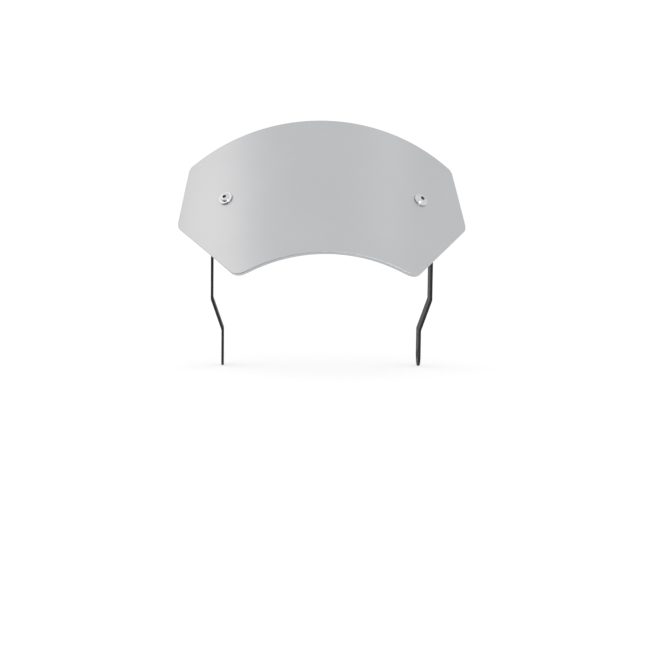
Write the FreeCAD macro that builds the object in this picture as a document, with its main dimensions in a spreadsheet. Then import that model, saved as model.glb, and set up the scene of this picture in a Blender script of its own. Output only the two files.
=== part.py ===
"""Motorcycle windshield: a rolled aluminium sheet carried by two flat-bar brackets.

Millimetres, +Z up, the front towards -Y and +X to the rider's left. The origin is midway between
the two eyes that the brackets hang on, on the axis of their bolts.
"""
import FreeCAD, Part
import Sketcher
import math
import os

from FreeCAD import Base
from FreeCAD import Vector

# Driving dimensions, in millimetres and degrees
DIMENSIONS = {
    # the sheet, on its flat blank, from the line through both screw holes
    "sheet_thickness": 4,
    "bend_radius": 210,
    "recline": 44,
    "shoulder_inset": 14.3,
    "shoulder_height": 58,
    "crown_rise": 25.2,
    "side_half_width": 152.8,
    "side_drop": 9.3,
    "hem_half_width": 85.3,
    "hem_drop": 98.4,
    "notch_rise": 16.1,
    "shoulder_round": 8,
    "side_round": 13,
    "hem_round": 13,
    "hole_clearance": 0.3,
    # the middle of the sheet on that line, from the eyes: forward and up
    "apex_reach": 38,
    "apex_rise": 167,
    # button-head screws with a flange
    "screw_diameter": 6,
    "screw_projection": 2.5,
    "flange_width": 1.55,
    "flange_thickness": 1.2,
    "flange_bevel": 0.4,
    "head_diameter": 10.5,
    "head_height": 3.3,
    "head_flat_diameter": 5.8,
    "socket_width": 4,
    "socket_depth": 2.1,
    # washers and collars
    "face_washer_inset": 0.3,
    "face_washer_thickness": 0.5,
    "back_washer_diameter": 18,
    "back_washer_thickness": 1.6,
    "washer_clearance": 0.2,
    "collar_wall": 1.3,
    "collar_clearance": 0.2,
    # rubber grommets in the tongues
    "grommet_wall": 1.4,
    "grommet_clearance": 0.05,
    "lip_width": 3,
    "lip_thickness": 2,
    # locknuts with a nylon ring
    "nut_wall": 2,
    "nut_height": 6,
    "nut_crown_inset": 0.5,
    "nut_crown_height": 1.6,
    "nut_crown_wall": 0.6,
    "nut_ring_height": 1.3,
    "nut_ring_recess": 0.2,
    "thread_clearance": 0.05,
    # brackets of bent flat bar
    "plate_thickness": 2.5,
    "foot_half_spacing": 96,
    "joggle_offset": 10.5,
    "joggle_bottom": 23,
    "joggle_height": 32,
    "joggle_inside": 5,
    "strap_width": 24,
    "strap_round": 11,
    "strap_hollow": 6,
    "bend_inside": 4,
    "tongue_reach": 15,
    "tongue_half_height": 13,
    "tongue_length": 13,
    "tongue_end_flat": 1,
    "eye_diameter": 8.4,
}

# How near two places count as one, how exactly the sheet takes its thickness and how far a cut
# runs past what it cuts, in millimetres, and the least volume of a cut, in cubic millimetres
SAME_PLACE = 1e-4
OFFSET_TOLERANCE = 0.001
CUT_ROOM = 1
LEAST_CUT = 0.01

# Radii and widths worked out from the driving dimensions
BACK_RADIUS = "(dim.bend_radius - dim.sheet_thickness)"
MIDDLE_RADIUS = "(dim.bend_radius - dim.sheet_thickness / 2)"
EDGE_SEARCH = "(dim.sheet_thickness / 10)"
SHOULDER = "(dim.side_half_width - dim.shoulder_inset)"
SHANK = "(dim.screw_diameter / 2)"
HOLE = f"({SHANK} + dim.hole_clearance)"
FLANGE = "(dim.head_diameter / 2 + dim.flange_width)"
FACE_WASHER = f"({FLANGE} - dim.face_washer_inset)"
BACK_WASHER = "(dim.back_washer_diameter / 2)"
WASHER_BORE = f"({SHANK} + dim.washer_clearance)"
COLLAR_BORE = f"({SHANK} + dim.collar_clearance)"
COLLAR = f"({COLLAR_BORE} + dim.collar_wall)"
GROMMET_BORE = f"({COLLAR} + dim.grommet_clearance)"
GROMMET_WAIST = f"({GROMMET_BORE} + dim.grommet_wall)"
GROMMET_HOLE = f"({GROMMET_WAIST} + dim.grommet_clearance)"
LIP = f"({GROMMET_HOLE} + dim.lip_width)"
THREAD = f"({SHANK} + dim.thread_clearance)"
NUT_WIDTH = "(dim.screw_diameter + 2 * dim.nut_wall)"
NUT_CROWN = f"({NUT_WIDTH} / 2 - dim.nut_crown_inset)"
NUT_RING = f"({NUT_CROWN} - dim.nut_crown_wall)"
NUT_RING_SEAT = f"({NUT_RING} + dim.thread_clearance)"


def hollow_under(radius):
    """How far a flat disc stands off the middle of the sheet's hollow back."""
    return f"({BACK_RADIUS} - sqrt({BACK_RADIUS}^2 - {radius}^2))"


# Levels along a screw, from the front face
HEAD_SEAT = "dim.face_washer_thickness"
COLLAR_FRONT = f"(-dim.sheet_thickness - {hollow_under(COLLAR)})"
LIP_FRONT = f"(-dim.sheet_thickness - {hollow_under(LIP)})"
TONGUE_FRONT = f"({LIP_FRONT} - dim.lip_thickness)"
TONGUE_BACK = f"({TONGUE_FRONT} - dim.plate_thickness)"
LIP_BACK = f"({TONGUE_BACK} - dim.lip_thickness)"
NUT_FRONT = f"({LIP_BACK} - dim.back_washer_thickness)"
NUT_SHOULDER = f"({NUT_FRONT} - dim.nut_height + dim.nut_crown_height)"
NUT_BACK = f"({NUT_FRONT} - dim.nut_height)"
RING_BACK = f"({NUT_BACK} + dim.nut_ring_recess)"
RING_FRONT = f"({RING_BACK} + dim.nut_ring_height)"
SCREW_END = f"({NUT_BACK} - dim.screw_projection)"

# Faces of a bracket's foot and arm, and the bend between the arm and the tongue
FOOT_INNER = "(dim.foot_half_spacing - dim.plate_thickness / 2)"
FOOT_OUTER = "(dim.foot_half_spacing + dim.plate_thickness / 2)"
ARM_INNER = f"({FOOT_INNER} + dim.joggle_offset)"
ARM_OUTER = f"({FOOT_OUTER} + dim.joggle_offset)"
BEND_CENTRE_X = f"({ARM_INNER} - dim.bend_inside)"
BEND_CENTRE_RADIUS = f"(dim.bend_radius + {TONGUE_BACK} - dim.bend_inside)"

# The angle round the sheet at which a tongue, so long from its bend to the screw, lies along the sheet
HOLE_ANGLE = (
    f"((asin({BEND_CENTRE_X} / sqrt({BEND_CENTRE_RADIUS}^2 + dim.tongue_reach^2))"
    f" - atan(dim.tongue_reach / {BEND_CENTRE_RADIUS})) / 1 deg)"
)
BEND_DEPTH = (
    f"(dim.bend_radius - {BEND_CENTRE_RADIUS} * cos({HOLE_ANGLE}) + dim.tongue_reach * sin({HOLE_ANGLE}))"
)

# The sheet's frame: x across, y up the slope, z out of the front face
SHEET_FRAME = (
    "placement(vector(0; -dim.apex_reach; dim.apex_rise); rotation(vector(1; 0; 0); 90 - dim.recline))"
)
# A screw's frame: its origin on the front face, z out along the screw
SCREW_FRAME = (
    f"{SHEET_FRAME} * placement(vector(dim.bend_radius * sin({HOLE_ANGLE}); 0; "
    f"dim.bend_radius * (cos({HOLE_ANGLE}) - 1)); rotation(vector(0; 1; 0); {HOLE_ANGLE}))"
)

doc = FreeCAD.newDocument("windshield")
dim = doc.addObject("Spreadsheet::Sheet", "dim")
for row, (alias, value) in enumerate(DIMENSIONS.items(), start=1):
    dim.set(f"A{row}", alias.replace("_", " "))
    dim.set(f"B{row}", str(value))
    dim.setAlias(f"B{row}", alias)
doc.recompute()


def number(expression):
    """The present value of an expression of the driving dimensions."""
    value = dim.evalExpression(expression)
    return float(getattr(value, "Value", value))


def at_level(level):
    """The offset of a sketch that lies square to the screw at a level given as an expression."""
    return f"placement(vector(0; 0; {level}); rotation(vector(0; 0; 1); 0))"


def new_body(label, frame=None):
    """A body in the part's frame, or in another frame given as an expression."""
    body = doc.addObject("PartDesign::Body", label)
    body.Label = label
    if frame:
        body.setExpression("Placement", frame)
    return body


def new_sketch(body, name, plane, offset=None):
    """A sketch on one of the body's origin planes, moved by an offset given as an expression."""
    sketch = body.newObject("Sketcher::SketchObject", f"{body.Name}_{name}")
    support = next(f for f in body.Origin.OriginFeatures if f.Role == plane)
    sketch.AttachmentSupport = [(support, "")]
    sketch.MapMode = "FlatFace"
    if offset:
        sketch.setExpression("AttachmentOffset", offset)
    return sketch


def bind(sketch, kind, references, expression):
    """Adds a dimension to a sketch and binds it to an expression."""
    index = sketch.addConstraint(Sketcher.Constraint(kind, *references, number(expression)))
    sketch.setExpression(f"Constraints[{index}]", expression)


def arc_through(start, end, centre):
    """The short arc about a centre between two points, and whether it runs from start to end."""
    turn = (start - centre).cross(end - centre).z
    circle = Part.Circle(centre, Vector(0, 0, 1), (start - centre).Length)
    first, last = (start, end) if turn > 0 else (end, start)
    angles = [math.atan2(p.y - centre.y, p.x - centre.x) for p in (first, last)]
    return Part.ArcOfCircle(circle, *angles), turn > 0


def closed_profile(sketch, corners, arcs=None):
    """Draws a closed profile through corners given as expressions, with arcs in place of some sides.

    An arc is given by the number of its side, as the expressions of its centre and its radius.
    """
    arcs = arcs or {}
    places = [Vector(number(x), number(y), 0) for x, y in corners]
    ends = []
    for side, start in enumerate(places):
        end = places[(side + 1) % len(places)]
        along = True
        if side in arcs:
            x, y, radius = arcs[side]
            piece, along = arc_through(start, end, Vector(number(x), number(y), 0))
            geometry = sketch.addGeometry(piece, False)
            bind(sketch, "Radius", (geometry,), radius)
        else:
            geometry = sketch.addGeometry(Part.LineSegment(start, end), False)
        ends.append((geometry, 1, 2) if along else (geometry, 2, 1))
    for side, (geometry, _, last) in enumerate(ends):
        follower, follower_first, _ = ends[(side + 1) % len(ends)]
        sketch.addConstraint(Sketcher.Constraint("Coincident", geometry, last, follower, follower_first))
    for (geometry, first, _), (x, y) in zip(ends, corners):
        for kind, axis, expression in (("DistanceX", -2, x), ("DistanceY", -1, y)):
            if expression == "0":
                sketch.addConstraint(Sketcher.Constraint("PointOnObject", geometry, first, axis))
            else:
                bind(sketch, kind, (-1, 1, geometry, first), expression)


def circle_profile(sketch, radius):
    """A circle about the sketch's origin."""
    circle = Part.Circle(Vector(0, 0, 0), Vector(0, 0, 1), number(radius))
    geometry = sketch.addGeometry(circle, False)
    sketch.addConstraint(Sketcher.Constraint("Coincident", geometry, 3, -1, 1))
    bind(sketch, "Radius", (geometry,), radius)


def hexagon_profile(sketch, across_flats):
    """A hexagon about the sketch's origin, with two corners on its X axis."""
    corners = []
    for turn in range(0, 360, 60):
        x = f"{across_flats} / sqrt(3) * cos({turn})"
        y = f"{across_flats} / sqrt(3) * sin({turn})"
        corners.append((x, "0" if turn % 180 == 0 else y))
    closed_profile(sketch, corners)


def pad(body, sketch, length, symmetric=False, reverse=False):
    """Raises a sketch to a solid."""
    feature = body.newObject("PartDesign::Pad", f"{sketch.Name}_pad")
    feature.Profile = sketch
    feature.SideType = "Symmetric" if symmetric else "One side"
    feature.Reversed = reverse
    feature.setExpression("Length", length)
    doc.recompute()
    return feature


def pocket(body, sketch, depth, symmetric=False, reverse=False):
    """Cuts a sketch into the body, and stops if nothing was cut."""
    before = body.Shape.Volume
    feature = body.newObject("PartDesign::Pocket", f"{sketch.Name}_pocket")
    feature.Profile = sketch
    feature.SideType = "Symmetric" if symmetric else "One side"
    feature.Reversed = reverse
    feature.setExpression("Length", depth)
    doc.recompute()
    if body.Shape.Volume > before - LEAST_CUT:
        raise RuntimeError(f"{feature.Name} cuts nothing")
    return feature


def spin(body, sketch):
    """Turns a sketch once round its own vertical axis to a solid."""
    feature = body.newObject("PartDesign::Revolution", f"{sketch.Name}_turned")
    feature.Profile = sketch
    feature.ReferenceAxis = (sketch, ["V_Axis"])
    feature.Angle = 360
    doc.recompute()
    return feature


def round_edges(body, name, radius, chosen):
    """Rounds those edges of the body that a test chooses."""
    base = body.Tip
    names = [f"Edge{i}" for i, edge in enumerate(base.Shape.Edges, start=1) if chosen(edge)]
    feature = body.newObject("PartDesign::Fillet", f"{body.Name}_{name}")
    feature.Base = (base, names)
    feature.setExpression("Radius", radius)
    doc.recompute()
    return feature


def turned(label, corners):
    """A turned piece about the screw's axis, from half its section as (radius, level) corners."""
    body = new_body(label, SCREW_FRAME)
    section = new_sketch(body, "section", "XZ_Plane")
    closed_profile(section, corners)
    spin(body, section)
    return body


def ring(label, inner, outer, back, front):
    """A plain turned ring between two radii and two levels."""
    return turned(label, [(inner, back), (outer, back), (outer, front), (inner, front)])


# The rolled sheet: its blank is drawn flat, wrapped on a cylinder and given its thickness
SHEET_CORNERS = (
    (SHOULDER, "dim.shoulder_height", "dim.shoulder_round"),
    ("dim.side_half_width", "-dim.side_drop", "dim.side_round"),
    ("dim.hem_half_width", "-dim.hem_drop", "dim.hem_round"),
)


def draw_blank():
    """The outline of the flat blank, with sharp corners."""
    blank = doc.addObject("Sketcher::SketchObject", "blank")
    left = [(x, y) for x, y, _ in SHEET_CORNERS]
    right = [(f"-{x}", y) for x, y in reversed(left)]
    crown = f"(({SHOULDER}^2 + dim.crown_rise^2) / (2 * dim.crown_rise))"
    notch = "((dim.hem_half_width^2 + dim.notch_rise^2) / (2 * dim.notch_rise))"
    arcs = {
        2: ("0", f"-dim.hem_drop + dim.notch_rise - {notch}", notch),
        5: ("0", f"dim.shoulder_height + dim.crown_rise - {crown}", crown),
    }
    closed_profile(blank, left + right, arcs)
    doc.recompute()
    return blank.Shape


def wrap(outline, radius):
    """The outline laid on a cylinder about Z, with the blank's middle line on its -X side."""
    middle = number(MIDDLE_RADIUS)
    surface = Part.Cylinder()
    surface.Radius = radius
    edges = []
    for edge in outline.OrderedEdges:
        flat = edge.Curve.toBSpline(edge.FirstParameter, edge.LastParameter)
        curve = Part.Geom2d.BSplineCurve2d()
        poles = [Base.Vector2d(math.pi + pole.x / middle, pole.y) for pole in flat.getPoles()]
        curve.buildFromPolesMultsKnots(
            poles, flat.getMultiplicities(), flat.getKnots(), False, flat.Degree, flat.getWeights()
        )
        edges.append(curve.toShape(surface))
    return Part.Face(surface, Part.Wire(edges))


def corner_edges(solid, half_width, height):
    """The two short edges across the sheet's thickness at one pair of corners of the blank."""
    radius = number(MIDDLE_RADIUS)
    angle = number(half_width) / radius
    places = [
        Vector(-radius * math.cos(angle), side * radius * math.sin(angle), number(height)) for side in (-1, 1)
    ]
    near = number(EDGE_SEARCH)
    return [e for e in solid.Edges if min((e.CenterOfMass - place).Length for place in places) < near]


def make_shield():
    """The sheet: rolled, its corners rounded and both screw holes drilled."""
    thickness = number("dim.sheet_thickness")
    radius = number("dim.bend_radius")
    outline = draw_blank().Wires[0]
    solid = wrap(outline, radius).makeOffsetShape(-thickness, OFFSET_TOLERANCE, fill=True)
    for half_width, height, rounding in SHEET_CORNERS:
        solid = solid.makeFillet(number(rounding), corner_edges(solid, half_width, height))
    angle = math.radians(number(HOLE_ANGLE))
    for side in (-1, 1):
        outward = Vector(-math.cos(angle), side * math.sin(angle), 0)
        start = outward * (radius - thickness - CUT_ROOM)
        solid = solid.cut(Part.makeCylinder(number(HOLE), thickness + 2 * CUT_ROOM, start, outward))
    shield = doc.addObject("Part::Feature", "shield")
    shield.Label = "shield"
    shield.Shape = solid.Solids[0]
    frame = dim.evalExpression(SHEET_FRAME)
    stand = FreeCAD.Rotation(Vector(0, 0, -1), Vector(-1, 0, 0), Vector(0, 1, 0), "XYZ")
    shield.Placement = frame * FreeCAD.Placement(Vector(0, 0, -radius), stand)
    return shield


# Fasteners, all turned about the screw's axis
def make_screw():
    """Flanged button-head screw with a hexagon socket, its dome in two slopes of the round head."""
    flat, dome = "(dim.head_flat_diameter / 2)", "(dim.head_diameter / 2)"
    top = f"({HEAD_SEAT} + dim.head_height)"
    shoulder = f"({HEAD_SEAT} + dim.flange_thickness)"
    # both ends of the dome and the corner between its slopes lie on one sphere about the axis
    centre = f"(({flat}^2 + {top}^2 - {dome}^2 - {shoulder}^2) / (2 * ({top} - {shoulder})))"
    radius = f"sqrt({flat}^2 + ({top} - {centre})^2)"
    out, up = f"(({flat} + {dome}) / 2)", f"(({top} + {shoulder}) / 2 - {centre})"
    share = f"({radius} / sqrt({out}^2 + {up}^2))"
    corners = [
        ("0", SCREW_END),
        (SHANK, SCREW_END),
        (SHANK, HEAD_SEAT),
        (FLANGE, HEAD_SEAT),
        (FLANGE, f"{shoulder} - dim.flange_bevel"),
        (f"{FLANGE} - dim.flange_bevel", shoulder),
        (dome, shoulder),
        (f"{out} * {share}", f"{centre} + {up} * {share}"),
        (flat, top),
        ("0", top),
    ]
    body = turned("left_screw", corners)
    socket = new_sketch(body, "socket", "XY_Plane", at_level(top))
    hexagon_profile(socket, "dim.socket_width")
    pocket(body, socket, "dim.socket_depth")
    return body


def make_grommet():
    """Rubber grommet with a lip on each side of the tongue."""
    corners = [
        (GROMMET_BORE, LIP_BACK),
        (LIP, LIP_BACK),
        (LIP, TONGUE_BACK),
        (GROMMET_WAIST, TONGUE_BACK),
        (GROMMET_WAIST, TONGUE_FRONT),
        (LIP, TONGUE_FRONT),
        (LIP, LIP_FRONT),
        (GROMMET_BORE, LIP_FRONT),
    ]
    return turned("left_grommet", corners)


def make_locknut():
    """Hexagon locknut: hexagon, round crown, bore for the thread and the seat of its nylon ring."""
    body = new_body("left_locknut", SCREW_FRAME)
    hexagon = new_sketch(body, "hexagon", "XY_Plane", at_level(NUT_FRONT))
    hexagon_profile(hexagon, NUT_WIDTH)
    pad(body, hexagon, "dim.nut_height - dim.nut_crown_height", reverse=True)
    crown = new_sketch(body, "crown", "XY_Plane", at_level(NUT_SHOULDER))
    circle_profile(crown, NUT_CROWN)
    pad(body, crown, "dim.nut_crown_height", reverse=True)
    bore = new_sketch(body, "bore", "XY_Plane", at_level(NUT_FRONT))
    circle_profile(bore, THREAD)
    pocket(body, bore, "dim.nut_height")
    seat = new_sketch(body, "seat", "XY_Plane", at_level(NUT_BACK))
    circle_profile(seat, NUT_RING_SEAT)
    pocket(body, seat, "dim.nut_ring_recess + dim.nut_ring_height", reverse=True)
    return body


# The bracket of bent flat bar: a strap from the eye to the sheet and a tongue behind the screw
STOCK_REACH = "(dim.apex_reach + dim.apex_rise)"


def draw_strap_edge(sketch):
    """The strap seen from the front: foot, joggle outwards and arm, with bends of one inside radius."""
    inside = "dim.joggle_inside"
    outside = f"({inside} + dim.plate_thickness)"
    low, high = "dim.joggle_bottom", "(dim.joggle_bottom + dim.joggle_height)"
    bottom, top = "-dim.strap_width", STOCK_REACH
    low_centre, high_centre = f"({FOOT_OUTER} + {inside})", f"({ARM_INNER} - {inside})"
    across, up = f"({high_centre} - {low_centre})", "dim.joggle_height"
    # the joggle's sides are common tangents of the two bends
    lean = f"(atan2({across}; {up}) + asin(({inside} + {outside}) / sqrt({across}^2 + {up}^2)))"

    def on_bend(x, z, radius, sign):
        return f"{x} {sign[0]} {radius} * cos({lean})", f"{z} {sign[1]} {radius} * sin({lean})"

    corners = [
        (FOOT_INNER, bottom),
        (FOOT_INNER, low),
        on_bend(low_centre, low, outside, "-+"),
        on_bend(high_centre, high, inside, "+-"),
        (ARM_INNER, high),
        (ARM_INNER, top),
        (ARM_OUTER, top),
        (ARM_OUTER, high),
        on_bend(high_centre, high, outside, "+-"),
        on_bend(low_centre, low, inside, "-+"),
        (FOOT_OUTER, low),
        (FOOT_OUTER, bottom),
    ]
    arcs = {
        1: (low_centre, low, outside),
        3: (high_centre, high, inside),
        7: (high_centre, high, outside),
        9: (low_centre, low, inside),
    }
    closed_profile(sketch, corners, arcs)


def draw_tongue_edge(sketch):
    """The tongue seen along the sheet's slope, as (across, depth): flat behind the screw, bent to the arm."""
    front = f"(dim.bend_radius + {TONGUE_FRONT})"
    back = f"(dim.bend_radius + {TONGUE_BACK})"
    outside = "(dim.bend_inside + dim.plate_thickness)"
    end = f"({BEND_DEPTH} + dim.plate_thickness)"

    def free_end(radius):
        x = f"{radius} * sin({HOLE_ANGLE}) - dim.tongue_length * cos({HOLE_ANGLE})"
        y = f"dim.bend_radius - {radius} * cos({HOLE_ANGLE}) - dim.tongue_length * sin({HOLE_ANGLE})"
        return x, y

    def bend_start(radius):
        x = f"{BEND_CENTRE_X} + {radius} * sin({HOLE_ANGLE})"
        y = f"{BEND_DEPTH} - {radius} * cos({HOLE_ANGLE})"
        return x, y

    corners = [
        free_end(front),
        bend_start(outside),
        (ARM_OUTER, BEND_DEPTH),
        (ARM_OUTER, end),
        (ARM_INNER, end),
        (ARM_INNER, BEND_DEPTH),
        bend_start("dim.bend_inside"),
        free_end(back),
    ]
    arcs = {
        1: (BEND_CENTRE_X, BEND_DEPTH, outside),
        5: (BEND_CENTRE_X, BEND_DEPTH, "dim.bend_inside"),
    }
    closed_profile(sketch, corners, arcs)


# Corners of the strap seen from the side, as (y, z)
STRAP_HALF = "(dim.strap_width / 2)"
TONGUE_LOW = (
    f"(-dim.apex_reach + {BEND_DEPTH} * cos(dim.recline) - dim.tongue_half_height * sin(dim.recline))",
    f"(dim.apex_rise - {BEND_DEPTH} * sin(dim.recline) - dim.tongue_half_height * cos(dim.recline))",
)
TONGUE_HIGH = (
    f"(-dim.apex_reach + {BEND_DEPTH} * cos(dim.recline) + dim.tongue_half_height * sin(dim.recline))",
    f"(dim.apex_rise - {BEND_DEPTH} * sin(dim.recline) + dim.tongue_half_height * cos(dim.recline))",
)
FRONT_TURN = (f"-{STRAP_HALF}", f"({TONGUE_LOW[1]} - (-{STRAP_HALF} - {TONGUE_LOW[0]}) * tan(dim.recline))")
BACK_TURN = (STRAP_HALF, f"({TONGUE_HIGH[1]} - ({STRAP_HALF} - {TONGUE_HIGH[0]}) * tan(dim.recline))")


def draw_strap_side(sketch):
    """All that is cut away beside the strap: a frame round its outline, which is round at the eye."""
    past = f"(2 * {STOCK_REACH})"
    closed_profile(sketch, [(f"-{past}", f"-{past}"), (past, f"-{past}"), (past, past), (f"-{past}", past)])
    outline = [
        (f"-{STRAP_HALF}", "0"),
        ("0", f"-{STRAP_HALF}"),
        (STRAP_HALF, "0"),
        BACK_TURN,
        TONGUE_HIGH,
        TONGUE_LOW,
        FRONT_TURN,
    ]
    closed_profile(sketch, outline, {0: ("0", "0", STRAP_HALF), 1: ("0", "0", STRAP_HALF)})


def runs_across(edge, place):
    """Whether a straight edge runs along X through a place in side view."""
    y, z = number(place[0]), number(place[1])
    points = [vertex.Point for vertex in edge.Vertexes]
    return len(points) == 2 and all(math.hypot(p.y - y, p.z - z) < SAME_PLACE for p in points)


def make_bracket():
    """Strap and tongue in one piece of plate, with the grommet's hole and the eye."""
    body = new_body("left_bracket")
    edge = new_sketch(body, "edge", "XZ_Plane")
    draw_strap_edge(edge)
    pad(body, edge, f"2 * {STOCK_REACH}", symmetric=True)
    side = new_sketch(body, "side", "YZ_Plane")
    draw_strap_side(side)
    pocket(body, side, f"4 * {ARM_OUTER}", symmetric=True)
    slope = "placement(vector(0; -dim.apex_reach; dim.apex_rise); rotation(vector(1; 0; 0); -dim.recline))"
    tongue = new_sketch(body, "tongue", "XY_Plane", slope)
    draw_tongue_edge(tongue)
    pad(body, tongue, "2 * dim.tongue_half_height", symmetric=True)
    round_edges(body, "back_corner", "dim.strap_round", lambda e: runs_across(e, BACK_TURN))
    round_edges(body, "front_hollow", "dim.strap_hollow", lambda e: runs_across(e, FRONT_TURN))
    # the free end of the tongue is rounded about the screw
    frame = dim.evalExpression(SCREW_FRAME).inverse()
    tip = -number("dim.tongue_length")
    plate = number("dim.plate_thickness")

    def at_tip(candidate):
        points = [frame.multVec(v.Point) for v in candidate.Vertexes]
        through = len(points) == 2 and abs(abs(points[0].z - points[1].z) - plate) < SAME_PLACE
        return through and all(abs(p.x - tip) < SAME_PLACE for p in points)

    round_edges(body, "tongue_end", "dim.tongue_half_height - dim.tongue_end_flat", at_tip)
    hole = new_sketch(body, "hole", "XY_Plane", SCREW_FRAME)
    circle_profile(hole, GROMMET_HOLE)
    pocket(body, hole, f"-2 * {LIP_BACK}", symmetric=True)
    eye = new_sketch(body, "eye", "YZ_Plane")
    circle_profile(eye, "dim.eye_diameter / 2")
    pocket(body, eye, f"4 * {FOOT_OUTER}", symmetric=True)
    return body


def mirrored(source):
    """The same piece for the rider's right."""
    label = source.Label.replace("left_", "right_")
    copy = doc.addObject("Part::Mirroring", label)
    copy.Label = label
    copy.Source = source
    copy.Normal = Vector(1, 0, 0)
    return copy


def export(pieces):
    """Checks the whole document, then writes one file for each piece."""
    doc.recompute()
    for item in doc.Objects:
        if {"Invalid", "Error"} & set(item.State):
            raise RuntimeError(f"{item.Label} did not compute")
    for piece in pieces:
        shape = piece.Shape
        if shape.isNull() or not shape.isValid() or len(shape.Solids) != 1:
            raise RuntimeError(f"{piece.Label} is not one valid solid")
    os.makedirs("parts", exist_ok=True)
    for piece in pieces:
        piece.Shape.exportStep(f"parts/{piece.Label}.step")
        print(f"{piece.Label}: {piece.Shape.Volume:.1f} mm3")


left_pieces = [
    make_bracket(),
    make_screw(),
    ring("left_face_washer", WASHER_BORE, FACE_WASHER, "0", HEAD_SEAT),
    make_grommet(),
    ring("left_collar", COLLAR_BORE, COLLAR, LIP_BACK, COLLAR_FRONT),
    ring("left_back_washer", WASHER_BORE, BACK_WASHER, NUT_FRONT, LIP_BACK),
    make_locknut(),
    ring("left_nut_ring", THREAD, NUT_RING, RING_BACK, RING_FRONT),
]
doc.recompute()
export([make_shield()] + left_pieces + [mirrored(piece) for piece in left_pieces])
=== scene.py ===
"""Looks of a motorcycle windshield: a rolled aluminium sheet on two bent brackets, in a plain studio.

Metres, +Z up, the front towards -Y and +X to the rider's left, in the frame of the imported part.
"""

import math

import bmesh
import bpy
from mathutils import Matrix, Vector


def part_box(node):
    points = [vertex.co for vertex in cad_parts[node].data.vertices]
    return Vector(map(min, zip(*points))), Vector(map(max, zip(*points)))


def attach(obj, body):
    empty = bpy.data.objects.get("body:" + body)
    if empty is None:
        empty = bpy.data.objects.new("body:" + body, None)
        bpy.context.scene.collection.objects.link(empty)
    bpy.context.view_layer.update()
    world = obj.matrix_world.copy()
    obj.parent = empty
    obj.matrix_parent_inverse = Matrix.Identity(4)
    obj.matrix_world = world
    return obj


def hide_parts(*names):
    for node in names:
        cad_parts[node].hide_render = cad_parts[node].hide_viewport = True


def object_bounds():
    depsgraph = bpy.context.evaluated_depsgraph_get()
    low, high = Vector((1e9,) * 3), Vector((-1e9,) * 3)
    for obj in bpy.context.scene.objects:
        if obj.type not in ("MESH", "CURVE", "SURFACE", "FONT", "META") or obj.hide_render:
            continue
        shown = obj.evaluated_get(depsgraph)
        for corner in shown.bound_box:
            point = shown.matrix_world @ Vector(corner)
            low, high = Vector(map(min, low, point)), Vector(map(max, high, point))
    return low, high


bl_info = {
    "name": "Motorcycle Windshield",
    "version": (1, 0, 0),
    "blender": (4, 5, 0),
    "location": "3D View > Sidebar > Windshield",
    "description": "Models and finishes a rolled windshield and its brackets around the packed part",
    "category": "Object",
}

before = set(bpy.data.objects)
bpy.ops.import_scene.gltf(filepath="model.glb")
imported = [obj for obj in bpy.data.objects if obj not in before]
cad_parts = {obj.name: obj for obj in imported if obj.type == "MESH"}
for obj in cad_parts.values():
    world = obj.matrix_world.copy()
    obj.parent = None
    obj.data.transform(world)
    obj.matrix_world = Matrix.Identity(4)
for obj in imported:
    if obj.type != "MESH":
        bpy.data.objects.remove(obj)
CAD_BOX = [list(corner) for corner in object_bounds()]

MM = 0.001
# Points nearer than this are merged, edges this near to a place are found there, and a piece keeps to
# its node's box within the third length
MERGE = 0.002 * MM
NEAR = 10 * MERGE
FIT = 0.6 * MM
# How far a cutting tool runs past what it cuts
CUT_ROOM = 3 * MM
# Faces round a turned piece, steps of a bend or a rounded corner, and steps of a softened edge
TURN_STEPS = 64
BEND_STEPS = 8
SOFT_STEPS = 3
# Edges sharper than this stay crisp, and get a small round where a piece is softened
CRISP = math.radians(35)
SIDES = {"left": 1, "right": -1}
# Hexagons have two corners on the X axis
HEXAGON_SIDES = 6
HEXAGON_TURN = math.pi / HEXAGON_SIDES


def length(name, millimetres, description):
    """A size that a user can change."""
    return bpy.props.FloatProperty(
        name=name, description=description, default=millimetres * MM, min=0, unit="LENGTH", precision=5
    )


def turn(name, degrees, description):
    """An angle that a user can change."""
    return bpy.props.FloatProperty(
        name=name, description=description, default=math.radians(degrees), subtype="ANGLE"
    )


def pixels(name, count, description):
    """A distance in the picture that a user can change."""
    return bpy.props.FloatProperty(name=name, description=description, default=count, subtype="PIXEL")


def colour(name, value, description):
    """A colour that a user can change."""
    return bpy.props.FloatVectorProperty(
        name=name, description=description, default=value, min=0, max=1, size=3, subtype="COLOR"
    )


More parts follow.
